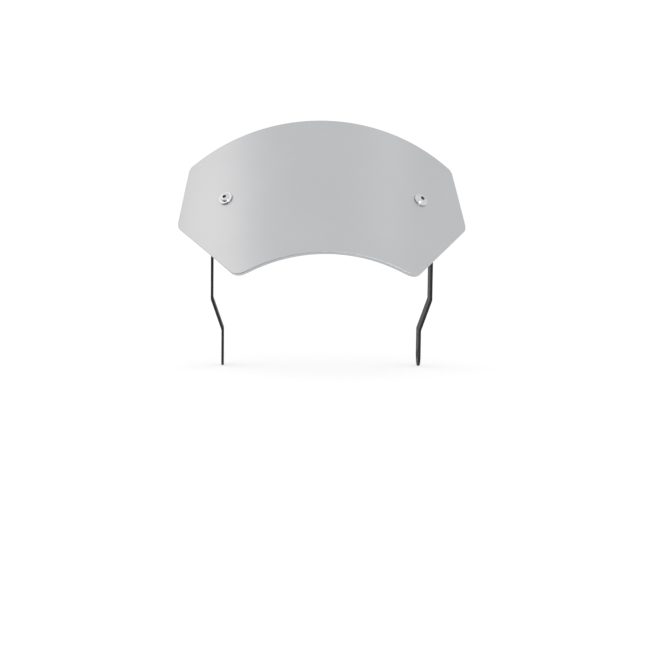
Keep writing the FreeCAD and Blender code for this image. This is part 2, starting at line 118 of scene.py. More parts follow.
class SheetSettings(bpy.types.PropertyGroup):
    """The sheet, on its flat blank, from the line through both screw holes"""

    thickness: length("Thickness", 4, "Thickness of the aluminium")
    bend_radius: length("Bend radius", 210, "Radius of the front face")
    recline: turn("Recline", 44, "Lean of the sheet, back from upright")
    apex_reach: length("Reach", 38, "How far the sheet's middle stands forward of the eyes")
    apex_rise: length("Rise", 167, "How high the sheet's middle stands above the eyes")
    shoulder_half_width: length("Shoulder half width", 138.5, "From the middle to a shoulder")
    shoulder_height: length("Shoulder height", 58, "From the screw line up to a shoulder")
    crown_rise: length("Crown rise", 25.2, "How far the top edge arches above the shoulders")
    side_half_width: length("Side half width", 152.8, "From the middle to a side corner")
    side_drop: length("Side drop", 9.3, "From the screw line down to a side corner")
    hem_half_width: length("Hem half width", 85.3, "From the middle to a lower corner")
    hem_drop: length("Hem drop", 98.4, "From the screw line down to a lower corner")
    notch_rise: length("Notch rise", 16.1, "How far the lower edge arches above its corners")
    shoulder_round: length("Shoulder rounding", 8, "Radius of the shoulders")
    side_round: length("Side rounding", 13, "Radius of the side corners")
    hem_round: length("Hem rounding", 13, "Radius of the lower corners")
    edge_round: length("Edge rounding", 0.9, "Radius of the rims")
    hole_clearance: length("Hole clearance", 0.3, "Room round a screw in the sheet")
    strip_width: length("Strip width", 2, "Width of the strips scored into the blank")


class FastenerSettings(bpy.types.PropertyGroup):
    """Screws, washers, grommets and nuts, along each screw"""

    screw_diameter: length("Screw diameter", 6, "Outside of the thread")
    screw_projection: length("Screw projection", 2.5, "Screw showing behind the nut")
    screw_chamfer: length("Screw chamfer", 0.6, "Chamfer of the screw's tip")
    thread_pitch: length("Thread pitch", 1, "Rise of the thread in one turn")
    thread_depth: length("Thread depth", 0.55, "Depth of the thread")
    thread_length: length("Thread length", 10, "Threaded length from the tip")
    flange_width: length("Flange width", 1.55, "How far the flange stands out round the head")
    flange_thickness: length("Flange thickness", 1.2, "Thickness of the flange")
    flange_round: length("Flange rounding", 0.7, "Radius of the flange's upper edge")
    flange_gap: length("Flange gap", 0.15, "Gap between the hollow flange's rim and the sheet")
    head_diameter: length("Head diameter", 10.5, "Foot of the domed head")
    head_height: length("Head height", 3.3, "Height of the head with its flange")
    head_flat_diameter: length("Head flat", 5.8, "Flat on top of the dome")
    socket_width: length("Socket width", 4, "Hexagon socket across its flats")
    socket_depth: length("Socket depth", 2.1, "Depth of the hexagon socket")
    face_washer_inset: length("Face washer inset", 0.3, "How far the nylon washer stays in the flange")
    face_washer_thickness: length("Face washer thickness", 0.5, "Thickness of the nylon washer")
    back_washer_diameter: length("Back washer diameter", 18, "Outside of the steel washer")
    back_washer_thickness: length("Back washer thickness", 1.6, "Thickness of the steel washer")
    washer_clearance: length("Washer clearance", 0.2, "Room round the screw in washers and collars")
    collar_wall: length("Collar wall", 1.3, "Wall of the collar inside the grommet")
    grommet_wall: length("Grommet wall", 1.4, "Wall of the grommet's waist")
    grommet_clearance: length("Grommet clearance", 0.05, "Room inside and outside the grommet's waist")
    lip_width: length("Lip width", 3, "How far the grommet's lips stand out")
    lip_thickness: length("Lip thickness", 2, "Thickness of each of the grommet's lips")
    lip_round: length("Lip rounding", 0.75, "Radius of the lips' edges")
    nut_wall: length("Nut wall", 2, "From the thread to a flat of the nut")
    nut_height: length("Nut height", 6, "Height of the nut with its crown")
    nut_bevel_inset: length("Nut bevel inset", 0.25, "How far inside the flats the nut's bevel begins")
    nut_bevel: turn("Nut bevel", 30, "Slope of the nut's bevels")
    nut_crown_inset: length("Nut crown inset", 0.5, "How far the crown stands inside the flats")
    nut_crown_height: length("Nut crown height", 1.6, "Height of the round crown")
    nut_crown_wall: length("Nut crown wall", 0.6, "Wall of the crown round the nylon ring")
    nut_ring_height: length("Nut ring height", 1.3, "Height of the nylon ring")
    nut_ring_recess: length("Nut ring recess", 0.2, "How deep the nylon ring sits in the crown")
    thread_clearance: length("Thread clearance", 0.05, "Room round the thread in the nut")


class BracketSettings(bpy.types.PropertyGroup):
    """The brackets of bent flat bar"""

    thickness: length("Thickness", 2.5, "Thickness of the plate")
    foot_half_spacing: length("Foot half spacing", 96, "From the middle to the middle of a foot")
    joggle_offset: length("Joggle offset", 10.5, "How far the arm stands outside the foot")
    joggle_bottom: length("Joggle bottom", 23, "Height of the lower bend")
    joggle_height: length("Joggle height", 32, "From the lower bend to the upper bend")
    joggle_inside: length("Joggle inside radius", 5, "Inside radius of both bends")
    strap_width: length("Strap width", 24, "Width of the flat bar")
    strap_round: length("Strap rounding", 11, "Radius of the strap's back corner")
    strap_hollow: length("Strap hollow", 6, "Radius of the strap's hollow corner in front")
    bend_inside: length("Bend inside radius", 4, "Inside radius of the tongue's bend")
    tongue_reach: length("Tongue reach", 15, "From the bend to the screw")
    tongue_half_height: length("Tongue half height", 13, "Half the height of the tongue")
    tongue_length: length("Tongue length", 13, "From the screw to the tongue's free end")
    tongue_end_flat: length("Tongue end flat", 1, "Half of the flat left at the tongue's end")
    eye_diameter: length("Eye diameter", 8.4, "Hole for the bolt")
    edge_round: length("Edge rounding", 0.45, "Radius of the coated edges")


class FinishSettings(bpy.types.PropertyGroup):
    """Colours of the finishes"""

    aluminium: colour("Anodised aluminium", (0.511, 0.523, 0.534), "Satin anodised sheet")
    coat: colour("Powder coat", (0.012, 0.012, 0.013), "Black powder coat of the brackets")
    zinc: colour("Zinc plate", (0.63, 0.635, 0.645), "Zinc plate of screws, washers and nuts")
    rubber: colour("Rubber", (0.022, 0.022, 0.022), "Moulded rubber of the grommets")
    nylon: colour("Black nylon", (0.03, 0.03, 0.032), "Nylon washers under the screw heads")
    ring: colour("Natural nylon", (0.74, 0.74, 0.69), "Nylon rings in the nuts")


class StageSettings(bpy.types.PropertyGroup):
    """Camera, floor and light"""

    distance: length("Camera distance", 1800, "From the camera to the sheet's middle, along the view")
    azimuth: turn("Camera azimuth", -2.94, "How far round towards +X the camera stands")
    elevation: turn("Camera elevation", 7, "How far the camera looks down")
    roll: turn("Camera roll", 0.66, "Turn of the picture")
    pixel: length("Pixel size", 0.95, "What one pixel of the picture covers at the camera distance")
    aim_across: pixels("Aim across", 324.6, "From the picture's left to the sheet's middle")
    aim_down: pixels("Aim down", 184.5, "From the picture's top to the sheet's middle")
    floor_colour: colour("Floor", (0.4, 0.4, 0.4), "Floor in the light that it throws back")


class WindshieldSettings(bpy.types.PropertyGroup):
    """All settings of the windshield"""

    sheet: bpy.props.PointerProperty(type=SheetSettings)
    fasteners: bpy.props.PointerProperty(type=FastenerSettings)
    bracket: bpy.props.PointerProperty(type=BracketSettings)
    finish: bpy.props.PointerProperty(type=FinishSettings)
    stage: bpy.props.PointerProperty(type=StageSettings)


class Layout:
    """Radii, levels and frames that the settings give."""

    def __init__(self, settings):
        sheet, fast, plate = settings.sheet, settings.fasteners, settings.bracket
        self.shank = fast.screw_diameter / 2
        self.hole = self.shank + sheet.hole_clearance
        self.flange = fast.head_diameter / 2 + fast.flange_width
        self.bore = self.shank + fast.washer_clearance
        self.collar = self.bore + fast.collar_wall
        self.grommet_bore = self.collar + fast.grommet_clearance
        self.grommet_waist = self.grommet_bore + fast.grommet_wall
        self.grommet_hole = self.grommet_waist + fast.grommet_clearance
        self.lip = self.grommet_hole + fast.lip_width
        self.thread = self.shank + fast.thread_clearance
        self.nut_flat = self.shank + fast.nut_wall
        self.nut_crown = self.nut_flat - fast.nut_crown_inset
        self.nut_ring = self.nut_crown - fast.nut_crown_wall
        # levels along a screw, from the front face
        back = sheet.bend_radius - sheet.thickness
        self.head_seat = fast.face_washer_thickness
        self.lip_front = -sheet.thickness - (back - math.sqrt(back**2 - self.lip**2))
        self.tongue_front = self.lip_front - fast.lip_thickness
        self.tongue_back = self.tongue_front - plate.thickness
        self.lip_back = self.tongue_back - fast.lip_thickness
        self.nut_front = self.lip_back - fast.back_washer_thickness
        self.nut_back = self.nut_front - fast.nut_height
        self.nut_shoulder = self.nut_back + fast.nut_crown_height
        self.ring_back = self.nut_back + fast.nut_ring_recess
        self.ring_front = self.ring_back + fast.nut_ring_height
        self.screw_end = self.nut_back - fast.screw_projection
        # the bracket's plate, at the middle of its thickness, and the bend of its tongue
        half = plate.thickness / 2
        self.foot = plate.foot_half_spacing
        self.arm = self.foot + plate.joggle_offset
        self.bend_radius = plate.bend_inside + half
        self.bend_across = self.arm - self.bend_radius
        bend_out = sheet.bend_radius + self.tongue_back - plate.bend_inside
        self.hole_angle = math.asin(
            self.bend_across / math.hypot(bend_out, plate.tongue_reach)
        ) - math.atan(plate.tongue_reach / bend_out)
        self.bend_depth = (
            sheet.bend_radius
            - bend_out * math.cos(self.hole_angle)
            + plate.tongue_reach * math.sin(self.hole_angle)
        )
        # the sheet's frame: x across, y up the slope, z out of the front face
        middle = Matrix.Translation((0, -sheet.apex_reach, sheet.apex_rise))
        self.sheet_frame = middle @ Matrix.Rotation(math.pi / 2 - sheet.recline, 4, "X")
        self.sheet_radius = sheet.bend_radius

    def screw_frame(self, side):
        """A screw's frame, its origin on the front face and z out along the screw."""
        around = side * self.hole_angle
        place = (self.sheet_radius * math.sin(around), 0, self.sheet_radius * (math.cos(around) - 1))
        return self.sheet_frame @ Matrix.Translation(place) @ Matrix.Rotation(around, 4, "Y")


# Modelling steps that the pieces share
def pick(piece):
    """Selects a piece alone and makes it the active one."""
    bpy.ops.object.select_all(action="DESELECT")
    piece.select_set(True)
    bpy.context.view_layer.objects.active = piece


def trace(name, points, closed=True):
    """Draws a line through points by extruding one vertex, and stays in edit mode."""
    bpy.ops.object.select_all(action="DESELECT")
    bpy.ops.mesh.primitive_plane_add(size=MM, enter_editmode=True)
    piece = bpy.context.active_object
    piece.name = name
    bpy.ops.mesh.select_mode(type="VERT")
    bpy.ops.mesh.select_all(action="SELECT")
    bpy.ops.mesh.merge(type="CENTER")
    bpy.ops.transform.translate(value=points[0])
    path = points + points[:1] if closed else points
    for before, after in zip(path, path[1:]):
        step = Vector(after) - Vector(before)
        bpy.ops.mesh.extrude_vertices_move(TRANSFORM_OT_translate={"value": step})
    bpy.ops.mesh.select_all(action="SELECT")
    bpy.ops.mesh.remove_doubles(threshold=MERGE)
    return piece


def close_mesh():
    """Merges doubles, turns the faces outwards and leaves edit mode."""
    bpy.ops.mesh.select_all(action="SELECT")
    bpy.ops.mesh.remove_doubles(threshold=MERGE)
    bpy.ops.mesh.normals_make_consistent(inside=False)
    bpy.ops.object.mode_set(mode="OBJECT")


def lathe(name, section, closed=True):
    """Turns a half section, as (radius, level) points, once round the Z axis."""
    piece = trace(name, [(radius, 0, level) for radius, level in section], closed)
    bpy.ops.mesh.spin(steps=TURN_STEPS, angle=2 * math.pi, center=(0, 0, 0), axis=(0, 0, 1))
    close_mesh()
    return piece


def ring(name, inner, outer, back, front):
    """A turned ring between two radii and two levels."""
    return lathe(name, [(inner, back), (outer, back), (outer, front), (inner, front)])


def apply(piece, modifier):
    """Applies a modifier."""
    bpy.context.view_layer.objects.active = piece
    bpy.ops.object.modifier_apply(modifier=modifier.name)


def thicken(piece, thickness):
    """Gives a plate its thickness, half of it to each side."""
    wall = piece.modifiers.new("wall", "SOLIDIFY")
    wall.thickness = thickness
    wall.offset = 0
    wall.use_even_offset = True
    apply(piece, wall)


def combine(piece, tool, operation):
    """Cuts, joins or keeps what a piece shares with a tool, and removes the tool."""
    modifier = piece.modifiers.new(operation.lower(), "BOOLEAN")
    modifier.operation = operation
    modifier.solver = "EXACT"
    modifier.object = tool
    apply(piece, modifier)
    bpy.data.objects.remove(tool)


def drill(piece, radius, thickness, matrix):
    """Drills a round hole along the Z axis of a frame in the middle of a plate."""
    bpy.ops.object.select_all(action="DESELECT")
    bpy.ops.mesh.primitive_cylinder_add(
        vertices=TURN_STEPS, radius=radius, depth=thickness + 2 * CUT_ROOM
    )
    tool = bpy.context.active_object
    tool.matrix_world = matrix
    combine(piece, tool, "DIFFERENCE")


def hexagon_bar(flat, depth, level):
    """A hexagon bar as a tool, from the axis to a flat, about a level of the Z axis."""
    bpy.ops.object.select_all(action="DESELECT")
    bpy.ops.mesh.primitive_cylinder_add(
        vertices=HEXAGON_SIDES,
        radius=flat / math.cos(HEXAGON_TURN),
        depth=depth,
        location=(0, 0, level),
        rotation=(0, 0, HEXAGON_TURN),
    )
    return bpy.context.active_object


def clean(piece):
    """Takes out the tiny faces that cutting leaves."""
    pick(piece)
    bpy.ops.object.mode_set(mode="EDIT")
    bpy.ops.mesh.select_all(action="SELECT")
    bpy.ops.mesh.dissolve_degenerate(threshold=MERGE / 2)
    bpy.ops.object.mode_set(mode="OBJECT")


def soften(piece, radius, segments=SOFT_STEPS):
    """Gives every crisp edge of a piece a small round."""
    modifier = piece.modifiers.new("soften", "BEVEL")
    modifier.width = radius
    modifier.segments = segments
    modifier.limit_method = "ANGLE"
    modifier.angle_limit = CRISP
    modifier.use_clamp_overlap = False
    apply(piece, modifier)


def select_edges(piece, places):
    """Selects, in edit mode, only those edges whose middle lies at one of some places."""
    bpy.ops.mesh.select_mode(type="EDGE")
    bpy.ops.mesh.select_all(action="DESELECT")
    shape = bmesh.from_edit_mesh(piece.data)
    for edge in shape.edges:
        first, last = edge.verts
        middle = (first.co + last.co) / 2
        if min((middle - Vector(spot)).length for spot in places) < NEAR:
            edge.select_set(True)
    bmesh.update_edit_mesh(piece.data)


def put(piece, matrix):
    """Moves a piece and puts its place into its mesh."""
    pick(piece)
    piece.matrix_world = matrix @ piece.matrix_world
    bpy.ops.object.transform_apply(location=True, rotation=True, scale=True)


def copy_of(piece, name):
    """A copy of a piece with its own mesh."""
    pick(piece)
    bpy.ops.object.duplicate(linked=False)
    double = bpy.context.active_object
    double.name = name
    return double


def settle(piece, node, finish):
    """Shades a piece, checks it against its CAD node, and gives it its finish, body and slot."""
    pick(piece)
    bpy.ops.object.shade_smooth_by_angle(angle=CRISP)
    modifier = piece.modifiers.new("even_shading", "WEIGHTED_NORMAL")
    modifier.keep_sharp = True
    apply(piece, modifier)
    piece.data.name = piece.name
    for axis, (low, high) in enumerate(zip(*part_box(node))):
        places = [vertex.co[axis] for vertex in piece.data.vertices]
        lowest, highest = min(places), max(places)
        if abs(lowest - low) > FIT or abs(highest - high) > FIT:
            raise RuntimeError(f"{piece.name} runs {lowest} to {highest}, {node} {low} to {high}")
    piece.data.materials.clear()
    piece.data.materials.append(bpy.data.materials[finish])
    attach(piece, "root")
    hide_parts(node)


def settle_pair(model, name, node, finish, layout):
    """Puts one copy of a piece on each screw."""
    for hand, side in SIDES.items():
        piece = copy_of(model, f"{hand}_{name}")
        put(piece, layout.screw_frame(side))
        settle(piece, f"{hand}_{node}", finish)
    bpy.data.objects.remove(model)


# Finishes. One attribute tells how deep a point lies in a screw's socket, where shade is painted into
# the plate's colour, and another marks the rims of the sheet, which are smoother than its faces
RECESS = "recess"
# Share of the plate's colour left at a socket's bottom, as painted shade
SOCKET_SHADE = 0.45
RIM = "rim"
RIM_GLOSS = 0.3
# Most values of a noise lie between these
NOISE_LOW = 0.3
NOISE_HIGH = 0.7


class Finish:
    """A material under construction, read on the piece's own Object coordinates."""

    def __init__(self, name):
        if name in bpy.data.materials:
            raise RuntimeError(f"the packed part already has a material named {name}")
        material = bpy.data.materials.new(name)
        material.use_nodes = True
        self.tree = material.node_tree
        self.surface = self.tree.nodes["Principled BSDF"]
        self.place = self.node("ShaderNodeTexCoord").outputs["Object"]

    def node(self, kind, **settings):
        """A new node with some of its settings changed."""
        made = self.tree.nodes.new(kind)
        for name, value in settings.items():
            setattr(made, name, value)
        return made

    def link(self, output, socket):
        """Joins one node's output to another's input."""
        self.tree.links.new(output, socket)

    def noise(self, grain, detail=2):
        """Noise whose grains are so many metres across."""
        texture = self.node("ShaderNodeTexNoise")
        texture.inputs["Scale"].default_value = 1 / grain
        texture.inputs["Detail"].default_value = detail
        self.link(self.place, texture.inputs["Vector"])
        return texture.outputs["Fac"]

    def tint(self, factor, dark, light):
        """Colours the surface between two colours by a factor."""
        ramp = self.node("ShaderNodeValToRGB")
        first, last = ramp.color_ramp.elements
        first.position = NOISE_LOW
        first.color = (*dark, 1)
        last.position = NOISE_HIGH
        last.color = (*light, 1)
        self.link(factor, ramp.inputs["Fac"])
        self.link(ramp.outputs["Color"], self.surface.inputs["Base Color"])
        return ramp.outputs["Color"]

    def paint_shade(self, tone, attribute, dark):
        """Paints shade: blends a colour into a dark one by an attribute of the mesh, 1 where it lies
        deep.
        """
        depth = self.node("ShaderNodeAttribute", attribute_name=attribute)
        blend = self.node("ShaderNodeMix", data_type="RGBA")
        sockets = {socket.name: socket for socket in blend.inputs if socket.type == "RGBA"}
        sockets["B"].default_value = (*dark, 1)
        self.link(tone, sockets["A"])
        self.link(depth.outputs["Fac"], blend.inputs["Factor"])
        blended = next(socket for socket in blend.outputs if socket.type == "RGBA")
        self.link(blended, self.surface.inputs["Base Color"])

    def gloss(self, factor, low, high):
        """Varies the roughness between two values by a factor."""
        spread = self.node("ShaderNodeMapRange")
        spread.inputs["From Min"].default_value = NOISE_LOW
        spread.inputs["From Max"].default_value = NOISE_HIGH
        spread.inputs["To Min"].default_value = low
        spread.inputs["To Max"].default_value = high
        self.link(factor, spread.inputs["Value"])
        self.link(spread.outputs["Result"], self.surface.inputs["Roughness"])
        return spread.outputs["Result"]

    def polish(self, rough, attribute, smooth):
        """Blends a roughness into a smoother one by an attribute of the mesh, 1 where it is polished."""
        where = self.node("ShaderNodeAttribute", attribute_name=attribute)
        blend = self.node("ShaderNodeMapRange")
        blend.inputs["To Max"].default_value = smooth
        self.link(where.outputs["Fac"], blend.inputs["Value"])
        self.link(rough, blend.inputs["To Min"])
        self.link(blend.outputs["Result"], self.surface.inputs["Roughness"])

    def relief(self, factor, height):
        """Raises the surface by a factor times a height in metres."""
        bump = self.node("ShaderNodeBump")
        bump.inputs["Strength"].default_value = 1
        bump.inputs["Distance"].default_value = height
        self.link(factor, bump.inputs["Height"])
        self.link(bump.outputs["Normal"], self.surface.inputs["Normal"])


def shade_of(value, share):
    """A colour made darker or lighter by a share."""
    return tuple(min(1, channel * share) for channel in value)


def anodised_aluminium(value):
    """Fine-blasted, satin sheet with smoother rims."""
    finish = Finish("anodised_aluminium")
    finish.surface.inputs["Metallic"].default_value = 1
    cloud = finish.noise(grain=60 * MM, detail=3)
    finish.tint(cloud, dark=shade_of(value, 0.985), light=shade_of(value, 1.015))
    blast = finish.noise(grain=0.35 * MM)
    satin = finish.gloss(blast, low=0.4, high=0.46)
    finish.polish(satin, RIM, RIM_GLOSS)
    finish.relief(blast, height=0.004 * MM)


def textured_coat(value):
    """Black powder coat with a fine orange peel."""
    finish = Finish("textured_coat")
    finish.surface.inputs["Specular IOR Level"].default_value = 0.4
    speck = finish.noise(grain=0.5 * MM, detail=3)
    finish.tint(speck, dark=shade_of(value, 0.8), light=shade_of(value, 1.3))
    peel = finish.noise(grain=0.6 * MM)
    finish.gloss(peel, low=0.55, high=0.7)
    finish.relief(peel, height=0.03 * MM)


def zinc_plate(value):
    """Bright plate, with shade painted into it down in a socket."""
    finish = Finish("zinc_plate")
    finish.surface.inputs["Metallic"].default_value = 1
    cloud = finish.noise(grain=3 * MM, detail=3)
    plate = finish.tint(cloud, dark=shade_of(value, 0.95), light=value)
    # Painted shade: the plate's colour darkens down in each socket
    finish.paint_shade(plate, RECESS, shade_of(value, SOCKET_SHADE))
    grain = finish.noise(grain=0.4 * MM)
    finish.gloss(grain, low=0.14, high=0.22)
    finish.relief(grain, height=0.002 * MM)


def moulded_rubber(value):
    """Dull black rubber with a fine skin."""
    finish = Finish("moulded_rubber")
    bloom = finish.noise(grain=2 * MM, detail=3)
    finish.tint(bloom, dark=shade_of(value, 0.8), light=shade_of(value, 1.35))
    skin = finish.noise(grain=0.25 * MM)
    finish.gloss(skin, low=0.6, high=0.78)
    finish.relief(skin, height=0.012 * MM)


def washer_nylon(value):
    """Black nylon with a slight sheen."""
    finish = Finish("washer_nylon")
    cloud = finish.noise(grain=1.5 * MM)
    finish.tint(cloud, dark=shade_of(value, 0.85), light=shade_of(value, 1.25))
    skin = finish.noise(grain=0.3 * MM)
    finish.gloss(skin, low=0.4, high=0.52)
    finish.relief(skin, height=0.006 * MM)


def natural_nylon(value):
    """Undyed nylon that lets a little light in."""
    finish = Finish("natural_nylon")
    finish.surface.inputs["Subsurface Weight"].default_value = 0.2
    finish.surface.inputs["Subsurface Scale"].default_value = 0.5 * MM
    cloud = finish.noise(grain=1.2 * MM)
    finish.tint(cloud, dark=shade_of(value, 0.94), light=shade_of(value, 1.04))
    finish.gloss(finish.noise(grain=0.4 * MM), low=0.38, high=0.5)


class FinishOperator(bpy.types.Operator):
    """Mix the finishes of all pieces"""

    bl_idname = "windshield.finishes"
    bl_label = "Finishes"

    def execute(self, context):
        finish = context.scene.windshield.finish
        anodised_aluminium(tuple(finish.aluminium))
        textured_coat(tuple(finish.coat))
        zinc_plate(tuple(finish.zinc))
        moulded_rubber(tuple(finish.rubber))
        washer_nylon(tuple(finish.nylon))
        natural_nylon(tuple(finish.ring))
        return {"FINISHED"}


# The rolled sheet, and the lean beyond which a face of its blank belongs to a rim
RIM_LEAN = math.radians(3.5)


def rounded(before, corner, after, radius):
    """Points of the arc that rounds a corner between two straight sides."""
    before, corner, after = Vector(before), Vector(corner), Vector(after)
    backward, forward = (before - corner).normalized(), (after - corner).normalized()
    half = backward.angle(forward) / 2
    centre = corner + (backward + forward).normalized() * radius / math.sin(half)
    first = (corner + backward * radius / math.tan(half) - centre).normalized()
    last = (corner + forward * radius / math.tan(half) - centre).normalized()
    return [centre + first.slerp(last, step / BEND_STEPS) * radius for step in range(BEND_STEPS + 1)]


def arched_edge(half_width, corner_height, rise, step):
    """Half an arched edge: points between the strips, and its direction at the corner."""
    radius = (half_width**2 + rise**2) / (2 * rise)
    centre = corner_height + rise - radius
    points = []
    for strip in range(int(half_width / step)):
        across = (strip + 0.5) * step
        points.append(Vector((across, 0, centre + math.sqrt(radius**2 - across**2))))
    lean = math.asin(half_width / radius)
    return points, Vector((-math.cos(lean), 0, math.sin(lean)))


def half_blank(sheet):
    """Half the outline, from beside the crown's middle to beside the notch's, as (across, 0, up)."""
    shoulder = Vector((sheet.shoulder_half_width, 0, sheet.shoulder_height))
    side = Vector((sheet.side_half_width, 0, -sheet.side_drop))
    hem = Vector((sheet.hem_half_width, 0, -sheet.hem_drop))
    crown, along_crown = arched_edge(shoulder.x, shoulder.z, sheet.crown_rise, sheet.strip_width)
    notch, along_notch = arched_edge(hem.x, hem.z, sheet.notch_rise, sheet.strip_width)
    shoulder_arc = rounded(shoulder + along_crown, shoulder, side, sheet.shoulder_round)
    hem_arc = rounded(side, hem, hem + along_notch, sheet.hem_round)
    crown = [point for point in crown if point.x < shoulder_arc[0].x - sheet.edge_round]
    notch = [point for point in notch if point.x < hem_arc[-1].x - sheet.edge_round]
    side_arc = rounded(shoulder, side, hem, sheet.side_round)
    return crown + shoulder_arc + side_arc + hem_arc + notch[::-1]


def score(piece, width):
    """Scores the flat blank into upright strips, so that it can be rolled."""
    reach = max(abs(vertex.co.x) for vertex in bmesh.from_edit_mesh(piece.data).verts)
    count = int(reach / width)
    for strip in range(-count, count + 1):
        bpy.ops.mesh.select_all(action="SELECT")
        bpy.ops.mesh.bisect(plane_co=(strip * width, 0, 0), plane_no=(1, 0, 0), threshold=MERGE)


class SheetOperator(bpy.types.Operator):
    """Cut the blank, drill it, round its rims and roll it"""

    bl_idname = "windshield.sheet"
    bl_label = "Rolled Sheet"

    def execute(self, context):
        settings = context.scene.windshield
        sheet, layout = settings.sheet, Layout(settings)
        half = half_blank(sheet)
        other = [Vector((-point.x, 0, point.z)) for point in reversed(half)]
        piece = trace("rolled_sheet", half + other)
        bpy.ops.mesh.edge_face_add()
        close_mesh()
        thicken(piece, sheet.thickness)
        soften(piece, sheet.edge_round)
        bpy.ops.object.mode_set(mode="EDIT")
        score(piece, sheet.strip_width)
        bpy.ops.object.mode_set(mode="OBJECT")
        # the blank stands upright, so its holes run along Y
        middle_radius = sheet.bend_radius - sheet.thickness / 2
        through = Matrix.Rotation(math.pi / 2, 4, "X")
        for side in SIDES.values():
            across = side * layout.hole_angle * middle_radius
            drill(piece, layout.hole, sheet.thickness, Matrix.Translation((across, 0, 0)) @ through)
        rim = piece.data.attributes.new(RIM, "FLOAT", "FACE")
        for face in piece.data.polygons:
            rim.data[face.index].value = abs(face.normal.y) < math.cos(RIM_LEAN)
        roll = piece.modifiers.new("roll", "SIMPLE_DEFORM")
        roll.deform_method = "BEND"
        roll.deform_axis = "Z"
        roll.angle = piece.dimensions.x / middle_radius
        apply(piece, roll)
        # its front faces -Y at half the thickness
        lean = Matrix.Rotation(-math.pi / 2, 4, "X") @ Matrix.Translation((0, sheet.thickness / 2, 0))
        put(piece, layout.sheet_frame @ lean)
        settle(piece, "shield", "anodised_aluminium")
        return {"FINISHED"}


# Fasteners, each modelled once along Z and copied to both screws. Their small edges are rounded by a
# share of the gap, thickness or wall that carries them
FLANGE_SOFT = 1 / 2
FACE_WASHER_SOFT = 1 / 5
BACK_WASHER_SOFT = 1 / 6
NUT_RING_SOFT = 1 / 8
NUT_CROWN_SOFT = 1 / 4
NUT_SOFT_STEPS = 2
# Room round a nylon washer in the flange's hollow, as a share of the washers' clearance
HOLLOW_ROOM = 1 / 4
# Turns of thread made beyond those that are kept
SPARE_TURNS = 3


def threaded_rod(radius, depth, pitch, low, high):
    """A rod with a screw thread between two levels, cut off square at both."""
    start = low - pitch
    core = radius - depth
    ridge = [(core, 0, start), (radius, 0, start + pitch / 2), (core, 0, start + pitch)]
    piece = trace("threaded_rod", ridge, closed=False)
    bpy.ops.object.mode_set(mode="OBJECT")
    thread = piece.modifiers.new("thread", "SCREW")
    thread.axis = "Z"
    thread.angle = 2 * math.pi
    thread.screw_offset = pitch
    thread.iterations = int((high - low) / pitch) + SPARE_TURNS
    thread.steps = TURN_STEPS // 2
    thread.render_steps = TURN_STEPS // 2
    thread.use_merge_vertices = True
    thread.merge_threshold = MERGE
    apply(piece, thread)
    bpy.ops.object.mode_set(mode="EDIT")
    bpy.ops.mesh.select_all(action="SELECT")
    bpy.ops.mesh.remove_doubles(threshold=MERGE)
    for level, direction in ((low, -1), (high, 1)):
        bpy.ops.mesh.select_all(action="SELECT")
        bpy.ops.mesh.bisect(
            plane_co=(0, 0, level),
            plane_no=(0, 0, direction),
            use_fill=True,
            clear_outer=True,
            threshold=MERGE,
        )
    bpy.ops.mesh.select_all(action="SELECT")
    bpy.ops.mesh.normals_make_consistent(inside=False)
    bpy.ops.object.mode_set(mode="OBJECT")
    return piece


class ScrewOperator(bpy.types.Operator):
    """Turn the flanged button-head screws, cut their sockets and their threads"""

    bl_idname = "windshield.screws"
    bl_label = "Button-head Screws"

    def execute(self, context):
        settings = context.scene.windshield
        fast, layout = settings.fasteners, Layout(settings)
        tip, seat, shank, flange = layout.screw_end, layout.head_seat, layout.shank, layout.flange
        flat, dome = fast.head_flat_diameter / 2, fast.head_diameter / 2
        top, shoulder = seat + fast.head_height, seat + fast.flange_thickness
        # the dome is part of a ball that passes through its foot and the rim of its flat
        centre = (flat**2 + top**2 - dome**2 - shoulder**2) / (2 * (top - shoulder))
        radius = math.hypot(flat, top - centre)
        first, last = math.asin(dome / radius), math.asin(flat / radius)
        hollow = flange - fast.face_washer_inset + fast.washer_clearance * HOLLOW_ROOM
        core = shank - fast.thread_depth
        inside, threaded = tip + fast.thread_length / 2, tip + fast.thread_length
        section = [
            (0, inside),
            (core, inside),
            (core, threaded),
            (shank, threaded + fast.thread_depth),
            (shank, seat),
            (hollow, seat),
            (hollow, fast.flange_gap),
            (flange, fast.flange_gap),
        ]
        for step in range(BEND_STEPS + 1):
            around = math.pi / 2 * step / BEND_STEPS
            out = flange - fast.flange_round * (1 - math.cos(around))
            section.append((out, shoulder - fast.flange_round * (1 - math.sin(around))))
        for step in range(BEND_STEPS + 1):
            lean = first + (last - first) * step / BEND_STEPS
            section.append((radius * math.sin(lean), centre + radius * math.cos(lean)))
        section.append((0, top))
        piece = lathe("screw_model", section, closed=False)
        soften(piece, fast.flange_gap * FLANGE_SOFT)
        rod = threaded_rod(shank, fast.thread_depth, fast.thread_pitch, tip, threaded)
        clear = shank + fast.thread_depth
        point = [
            (0, tip),
            (shank - fast.screw_chamfer, tip),
            (clear, tip + fast.screw_chamfer + fast.thread_depth),
            (clear, seat),
            (0, seat),
        ]
        combine(rod, lathe("rod_point", point, closed=False), "INTERSECT")
        combine(piece, rod, "UNION")
        combine(piece, hexagon_bar(fast.socket_width / 2, 2 * fast.socket_depth, top), "DIFFERENCE")
        clean(piece)
        # Depth in the socket, by which the zinc plate's colour is darkened as painted shade
        recess = piece.data.attributes.new(RECESS, "FLOAT", "POINT")
        for vertex in piece.data.vertices:
            sunk = (top - vertex.co.z) / fast.socket_depth
            in_socket = vertex.co.xy.length < flat and sunk < 1 + MERGE / fast.socket_depth
            recess.data[vertex.index].value = sunk if in_socket else 0
        settle_pair(piece, "button_screw", "screw", "zinc_plate", layout)
        return {"FINISHED"}


